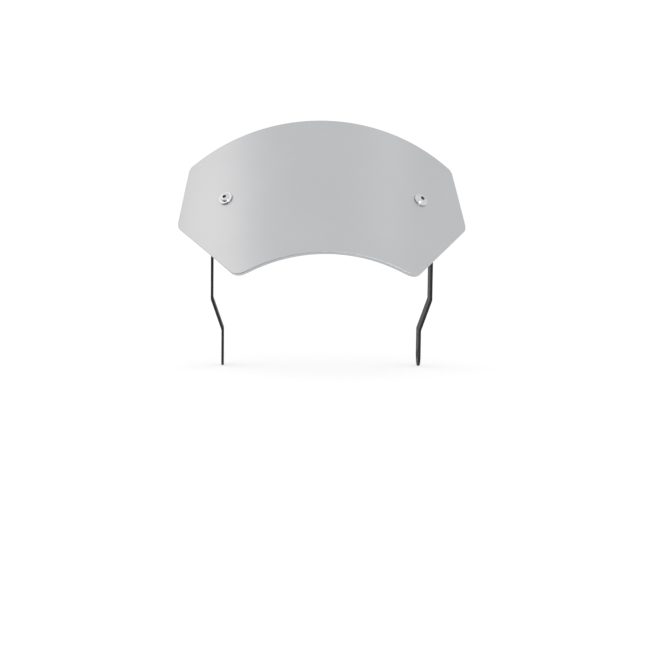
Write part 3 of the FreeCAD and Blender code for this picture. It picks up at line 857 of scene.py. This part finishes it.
class WasherOperator(bpy.types.Operator):
    """Turn the nylon washers, the steel washers and the nylon rings of the nuts"""

    bl_idname = "windshield.washers"
    bl_label = "Washers and Rings"

    def execute(self, context):
        settings = context.scene.windshield
        fast, layout = settings.fasteners, Layout(settings)
        outer = layout.flange - fast.face_washer_inset
        face = ring("face_model", layout.bore, outer, 0, layout.head_seat)
        soften(face, fast.face_washer_thickness * FACE_WASHER_SOFT)
        settle_pair(face, "nylon_washer", "face_washer", "washer_nylon", layout)
        outer = fast.back_washer_diameter / 2
        back = ring("back_model", layout.bore, outer, layout.nut_front, layout.lip_back)
        soften(back, fast.back_washer_thickness * BACK_WASHER_SOFT)
        settle_pair(back, "steel_washer", "back_washer", "zinc_plate", layout)
        lock = ring("lock_model", layout.thread, layout.nut_ring, layout.ring_back, layout.ring_front)
        soften(lock, fast.nut_ring_height * NUT_RING_SOFT)
        settle_pair(lock, "nylon_ring", "nut_ring", "natural_nylon", layout)
        return {"FINISHED"}


class GrommetOperator(bpy.types.Operator):
    """Turn the rubber grommets with their soft lips"""

    bl_idname = "windshield.grommets"
    bl_label = "Grommets"

    def execute(self, context):
        settings = context.scene.windshield
        fast, layout = settings.fasteners, Layout(settings)
        section = [
            (layout.grommet_bore, layout.lip_back),
            (layout.lip, layout.lip_back),
            (layout.lip, layout.tongue_back),
            (layout.grommet_waist, layout.tongue_back),
            (layout.grommet_waist, layout.tongue_front),
            (layout.lip, layout.tongue_front),
            (layout.lip, layout.lip_front),
            (layout.grommet_bore, layout.lip_front),
        ]
        piece = lathe("grommet_model", section)
        pick(piece)
        bpy.ops.object.mode_set(mode="EDIT")
        bpy.ops.mesh.select_mode(type="EDGE")
        bpy.ops.mesh.select_all(action="DESELECT")
        shape = bmesh.from_edit_mesh(piece.data)
        for edge in shape.edges:
            first, last = [vertex.co for vertex in edge.verts]
            level = abs(first.z - last.z) < MERGE
            outermost = min(first.xy.length, last.xy.length) > layout.lip - MERGE
            edge.select_set(level and outermost)
        bmesh.update_edit_mesh(piece.data)
        bpy.ops.mesh.bevel(offset=fast.lip_round, segments=BEND_STEPS // 2, affect="EDGES")
        bpy.ops.object.mode_set(mode="OBJECT")
        settle_pair(piece, "rubber_grommet", "grommet", "moulded_rubber", layout)
        return {"FINISHED"}


class NutOperator(bpy.types.Operator):
    """Make the hexagon locknuts with their bevels and round crowns"""

    bl_idname = "windshield.nuts"
    bl_label = "Locknuts"

    def execute(self, context):
        settings = context.scene.windshield
        fast, layout = settings.fasteners, Layout(settings)
        land = layout.nut_flat - fast.nut_bevel_inset
        reach = layout.nut_flat / math.cos(HEXAGON_TURN) + fast.nut_bevel_inset
        drop = (reach - land) * math.tan(fast.nut_bevel)
        seat = layout.nut_ring + fast.thread_clearance
        section = [
            (layout.thread, layout.nut_front),
            (land, layout.nut_front),
            (reach, layout.nut_front - drop),
            (reach, layout.nut_shoulder + drop),
            (land, layout.nut_shoulder),
            (layout.nut_crown, layout.nut_shoulder),
            (layout.nut_crown, layout.nut_back),
            (seat, layout.nut_back),
            (seat, layout.ring_front),
            (layout.thread, layout.ring_front),
        ]
        piece = lathe("nut_model", section)
        middle = (layout.nut_front + layout.nut_back) / 2
        bar = hexagon_bar(layout.nut_flat, fast.nut_height + 2 * CUT_ROOM, middle)
        combine(piece, bar, "INTERSECT")
        soften(piece, fast.nut_crown_wall * NUT_CROWN_SOFT, NUT_SOFT_STEPS)
        settle_pair(piece, "locknut_body", "locknut", "zinc_plate", layout)
        return {"FINISHED"}


class CollarOperator(bpy.types.Operator):
    """Finish the collars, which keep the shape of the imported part"""

    bl_idname = "windshield.collars"
    bl_label = "Collars"

    def execute(self, context):
        for hand in SIDES:
            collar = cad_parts[f"{hand}_collar"]
            collar.data.materials.clear()
            collar.data.materials.append(bpy.data.materials["zinc_plate"])
        return {"FINISHED"}


# Brackets
def joggle_path(plate, layout):
    """Places of the strap's plate below the arm, as (x, z): two bends, then the foot."""
    half = plate.thickness / 2
    radius = plate.joggle_inside + half
    low, high = plate.joggle_bottom, plate.joggle_bottom + plate.joggle_height
    low_centre, high_centre = layout.foot + radius, layout.arm - radius
    across = high_centre - low_centre
    lean = math.atan2(across, plate.joggle_height) + math.asin(
        2 * radius / math.hypot(across, plate.joggle_height)
    )
    path = []
    for step in range(1, BEND_STEPS + 1):
        around = lean * step / BEND_STEPS
        path.append((high_centre + radius * math.cos(around), high - radius * math.sin(around)))
    for step in range(BEND_STEPS + 1):
        around = lean * (1 - step / BEND_STEPS)
        path.append((low_centre - radius * math.cos(around), low + radius * math.sin(around)))
    path.append((layout.foot, -plate.strap_width / 2))
    return path


def extrude_edge(piece, ends, steps):
    """Extrudes the edge between two places by one step after another."""
    select_edges(piece, [(ends[0] + ends[1]) / 2])
    for step in steps:
        bpy.ops.mesh.extrude_edges_move(TRANSFORM_OT_translate={"value": step})


def round_corners(piece, places, radius, turned):
    """Rounds the edges across the plate at some corners of its outline."""
    select_edges(piece, places)
    offset = radius * math.tan(turned / 2)
    bpy.ops.mesh.bevel(offset=offset, segments=2 * BEND_STEPS, affect="EDGES", clamp_overlap=False)


class BracketOperator(bpy.types.Operator):
    """Bend the brackets from flat bar, drill them and round their edges"""

    bl_idname = "windshield.brackets"
    bl_label = "Brackets"

    def execute(self, context):
        settings = context.scene.windshield
        sheet, plate, layout = settings.sheet, settings.bracket, Layout(settings)
        half, height = plate.strap_width / 2, plate.tongue_half_height
        tongue_low = layout.sheet_frame @ Vector((layout.arm, -height, -layout.bend_depth))
        tongue_high = layout.sheet_frame @ Vector((layout.arm, height, -layout.bend_depth))
        slope = math.tan(sheet.recline)
        front = Vector((layout.arm, -half, tongue_low.z - (-half - tongue_low.y) * slope))
        back = Vector((layout.arm, half, tongue_high.z - (half - tongue_high.y) * slope))
        joggle_top = plate.joggle_bottom + plate.joggle_height
        ends = [Vector((layout.arm, y, joggle_top)) for y in (-half, half)]
        piece = trace("left_bent_bracket", [ends[0], ends[1], back, tongue_high, tongue_low, front])
        bpy.ops.mesh.edge_face_add()
        # the joggle and the foot
        path = [(layout.arm, joggle_top)] + joggle_path(plate, layout)
        steps = [(b[0] - a[0], 0, b[1] - a[1]) for a, b in zip(path, path[1:])]
        extrude_edge(piece, ends, steps)
        # the bend and the tongue
        select_edges(piece, [(tongue_low + tongue_high) / 2])
        turn_of_sheet = layout.sheet_frame.to_3x3()
        bpy.ops.mesh.spin(
            steps=BEND_STEPS,
            angle=math.pi / 2 - layout.hole_angle,
            center=layout.sheet_frame @ Vector((layout.bend_across, 0, -layout.bend_depth)),
            axis=turn_of_sheet @ Vector((0, 1, 0)),
        )
        along = Vector((-math.cos(layout.hole_angle), 0, math.sin(layout.hole_angle)))
        reach = turn_of_sheet @ along * (plate.tongue_reach + plate.tongue_length)
        bpy.ops.mesh.extrude_edges_move(TRANSFORM_OT_translate={"value": reach})
        close_mesh()
        thicken(piece, plate.thickness)
        screw = layout.screw_frame(SIDES["left"])
        tongue_middle = (layout.tongue_front + layout.tongue_back) / 2
        tips = [screw @ Vector((-plate.tongue_length, y, tongue_middle)) for y in (-height, height)]
        feet = [Vector((layout.foot, y, -half)) for y in (-half, half)]
        bpy.ops.object.mode_set(mode="EDIT")
        round_corners(piece, feet, half - NEAR, math.pi / 2)
        round_corners(piece, tips, height - plate.tongue_end_flat, math.pi / 2)
        round_corners(piece, [back], plate.strap_round, math.pi / 2 - sheet.recline)
        round_corners(piece, [front], plate.strap_hollow, math.pi / 2 - sheet.recline)
        bpy.ops.object.mode_set(mode="OBJECT")
        eye = Matrix.Translation((layout.foot, 0, 0)) @ Matrix.Rotation(math.pi / 2, 4, "Y")
        drill(piece, plate.eye_diameter / 2, plate.thickness, eye)
        seat = screw @ Matrix.Translation((0, 0, tongue_middle))
        drill(piece, layout.grommet_hole, plate.thickness, seat)
        soften(piece, plate.edge_round)
        mirror = copy_of(piece, "right_bent_bracket")
        bpy.ops.object.mode_set(mode="EDIT")
        bpy.ops.mesh.select_all(action="SELECT")
        bpy.ops.transform.resize(value=(-1, 1, 1), center_override=(0, 0, 0))
        bpy.ops.mesh.normals_make_consistent(inside=False)
        bpy.ops.object.mode_set(mode="OBJECT")
        settle(piece, "left_bracket", "textured_coat")
        settle(mirror, "right_bracket", "textured_coat")
        return {"FINISHED"}


# Stage: pixels across the picture, the sensor's width in millimetres, and how many times nearer and
# farther than the part the camera still sees
PICTURE = 645
SENSOR = 36.0
CLIP_SPAN = 100
# The floor's side and level in metres, what makes it white to the camera, and the level of the light
# all round
FLOOR_SIZE = 60
FLOOR_LEVEL = CAD_BOX[0][2]
FLOOR_LIFT = 0.68
WORLD_LIGHT = 0.85
# Rays that see the floor and the background in white
DIRECT_RAYS = ("Is Camera Ray", "Is Glossy Ray", "Is Transmission Ray")
# Soft boxes: name, place from the sheet's middle, sides, power in watts and colour. The wide one is
# slightly warm and lights the left half, the low one the lower rim, the high one a band on the right
SOFT_BOXES = (
    ("left_box", (-1.25, 0.15, 1.0), (1.1, 1.1), 2.45, (1.0, 0.9, 0.87)),
    ("low_box", (0.21, -0.96, -0.05), (0.26, 0.25), 0.95, (1.0, 1.0, 1.0)),
    ("high_box", (0.85, 0.12, 1.4), (0.3, 0.3), 0.19, (1.0, 1.0, 1.0)),
)
# The dark mat on the floor: its nearer edge from the sheet's middle, its right edge, depth, width,
# height and shade
MAT_NEAR = 0.15
MAT_RIGHT = 0.05
MAT_DEPTH = 1.8
MAT_WIDTH = 2.4
MAT_HEIGHT = 0.001
MAT_SHADE = 0.08


def show_by_ray(tree, seen, unseen, output):
    """Ends a node tree with one shader on direct rays and another on the rest."""
    path = tree.nodes.new("ShaderNodeLightPath")
    direct = path.outputs[DIRECT_RAYS[0]]
    for name in DIRECT_RAYS[1:]:
        larger = tree.nodes.new("ShaderNodeMath")
        larger.operation = "MAXIMUM"
        tree.links.new(direct, larger.inputs[0])
        tree.links.new(path.outputs[name], larger.inputs[1])
        direct = larger.outputs[0]
    mix = tree.nodes.new("ShaderNodeMixShader")
    tree.links.new(direct, mix.inputs["Fac"])
    tree.links.new(unseen, mix.inputs[1])
    tree.links.new(seen, mix.inputs[2])
    end = tree.nodes.new(output)
    tree.links.new(mix.outputs[0], end.inputs["Surface"])


class StageOperator(bpy.types.Operator):
    """Set up the floor, the white background, the lights and the camera"""

    bl_idname = "windshield.stage"
    bl_label = "Stage"

    def execute(self, context):
        settings = context.scene.windshield
        layout = Layout(settings)
        middle = layout.sheet_frame.translation
        self.lay_floor(settings.stage)
        self.light_world(context.scene)
        for box in SOFT_BOXES:
            self.hang_lamp(middle, *box)
        self.lay_mat(middle)
        self.aim_camera(context.scene, settings.stage, middle)
        context.scene.view_settings.view_transform = "Standard"
        return {"FINISHED"}

    def lay_floor(self, stage):
        """A wide floor under the feet, white to the camera where no shadow falls."""
        bpy.ops.object.select_all(action="DESELECT")
        bpy.ops.mesh.primitive_plane_add(size=FLOOR_SIZE, location=(0, 0, FLOOR_LEVEL))
        floor = bpy.context.active_object
        floor.name = "floor"
        material = bpy.data.materials.new("pale_floor")
        material.use_nodes = True
        tree = material.node_tree
        tree.nodes.clear()
        paint = tree.nodes.new("ShaderNodeBsdfDiffuse")
        paint.inputs["Color"].default_value = (*stage.floor_colour, 1)
        white = tree.nodes.new("ShaderNodeEmission")
        white.inputs["Strength"].default_value = FLOOR_LIFT
        both = tree.nodes.new("ShaderNodeAddShader")
        tree.links.new(paint.outputs[0], both.inputs[0])
        tree.links.new(white.outputs[0], both.inputs[1])
        show_by_ray(tree, both.outputs[0], paint.outputs[0], "ShaderNodeOutputMaterial")
        floor.data.materials.append(material)

    def light_world(self, scene):
        """Even light all round, white where it is seen directly or reflected."""
        world = bpy.data.worlds.new("studio")
        scene.world = world
        world.use_nodes = True
        tree = world.node_tree
        tree.nodes.clear()
        soft = tree.nodes.new("ShaderNodeBackground")
        soft.inputs["Strength"].default_value = WORLD_LIGHT
        white = tree.nodes.new("ShaderNodeBackground")
        for background in (soft, white):
            background.inputs["Color"].default_value = (1, 1, 1, 1)
        show_by_ray(tree, white.outputs[0], soft.outputs[0], "ShaderNodeOutputWorld")

    def hang_lamp(self, middle, name, offset, size, power, tone):
        """A soft box that points at the sheet's middle."""
        offset = Vector(offset)
        bpy.ops.object.light_add(type="AREA", location=middle + offset)
        lamp = bpy.context.active_object
        lamp.name = name
        lamp.data.shape = "RECTANGLE"
        lamp.data.size, lamp.data.size_y = size
        lamp.data.energy = power
        lamp.data.color = tone
        lamp.rotation_euler = (-offset).to_track_quat("-Z", "Y").to_euler()
        lamp.visible_camera = False

    def lay_mat(self, middle):
        """A dark mat in front on the left, seen only in the metal: it gives rims and heads depth."""
        bpy.ops.object.select_all(action="DESELECT")
        across = MAT_RIGHT - MAT_WIDTH / 2
        front = middle.y - MAT_NEAR - MAT_DEPTH / 2
        bpy.ops.mesh.primitive_plane_add(size=1, location=(across, front, FLOOR_LEVEL + MAT_HEIGHT))
        mat = bpy.context.active_object
        mat.name = "dark_mat"
        mat.scale = (MAT_WIDTH, MAT_DEPTH, 1)
        material = bpy.data.materials.new("dark_mat")
        material.use_nodes = True
        surface = material.node_tree.nodes["Principled BSDF"]
        surface.inputs["Base Color"].default_value = (MAT_SHADE, MAT_SHADE, MAT_SHADE, 1)
        surface.inputs["Roughness"].default_value = 1
        mat.data.materials.append(material)
        mat.visible_camera = False
        mat.visible_diffuse = False
        mat.visible_transmission = False
        mat.visible_shadow = False

    def aim_camera(self, scene, stage, middle):
        """A camera that puts the sheet's middle on its pixel of the picture."""
        azimuth, elevation = stage.azimuth, stage.elevation
        view = Vector((
            -math.sin(azimuth) * math.cos(elevation),
            math.cos(azimuth) * math.cos(elevation),
            -math.sin(elevation),
        ))
        right = view.cross(Vector((0, 0, 1))).normalized()
        up = right.cross(view)
        right, up = (
            math.cos(stage.roll) * right + math.sin(stage.roll) * up,
            math.cos(stage.roll) * up - math.sin(stage.roll) * right,
        )
        across = (stage.aim_across - PICTURE / 2) * stage.pixel
        above = (PICTURE / 2 - stage.aim_down) * stage.pixel
        eye = middle - view * stage.distance - right * across - up * above
        bpy.ops.object.camera_add()
        camera = bpy.context.active_object
        camera.name = "camera"
        facing = Matrix((right, up, -view)).transposed()
        camera.matrix_world = Matrix.Translation(eye) @ facing.to_4x4()
        camera.data.sensor_width = SENSOR
        camera.data.lens = SENSOR * stage.distance / (stage.pixel * PICTURE)
        camera.data.clip_start = stage.distance / CLIP_SPAN
        camera.data.clip_end = stage.distance * CLIP_SPAN
        scene.camera = camera


OPERATORS = (
    FinishOperator,
    SheetOperator,
    ScrewOperator,
    WasherOperator,
    GrommetOperator,
    NutOperator,
    CollarOperator,
    BracketOperator,
    StageOperator,
)
SETTINGS = (
    SheetSettings,
    FastenerSettings,
    BracketSettings,
    FinishSettings,
    StageSettings,
    WindshieldSettings,
)


class WindshieldPanel(bpy.types.Panel):
    """Steps that make the windshield"""

    bl_idname = "VIEW3D_PT_windshield"
    bl_label = "Windshield"
    bl_space_type = "VIEW_3D"
    bl_region_type = "UI"
    bl_category = "Windshield"

    def draw(self, context):
        for step in OPERATORS:
            self.layout.operator(step.bl_idname)
        settings = context.scene.windshield
        for group in ("sheet", "fasteners", "bracket", "finish", "stage"):
            box = self.layout.box()
            box.label(text=group.capitalize())
            for name in getattr(settings, group).__annotations__:
                box.prop(getattr(settings, group), name)


def register():
    for cls in SETTINGS + OPERATORS + (WindshieldPanel,):
        bpy.utils.register_class(cls)
    bpy.types.Scene.windshield = bpy.props.PointerProperty(type=WindshieldSettings)


def unregister():
    del bpy.types.Scene.windshield
    for cls in reversed(SETTINGS + OPERATORS + (WindshieldPanel,)):
        bpy.utils.unregister_class(cls)


def main():
    """Makes every piece and the stage."""
    register()
    bpy.ops.windshield.finishes()
    bpy.ops.windshield.sheet()
    bpy.ops.windshield.screws()
    bpy.ops.windshield.washers()
    bpy.ops.windshield.grommets()
    bpy.ops.windshield.nuts()
    bpy.ops.windshield.collars()
    bpy.ops.windshield.brackets()
    bpy.ops.windshield.stage()


if __name__ == "__main__":
    main()
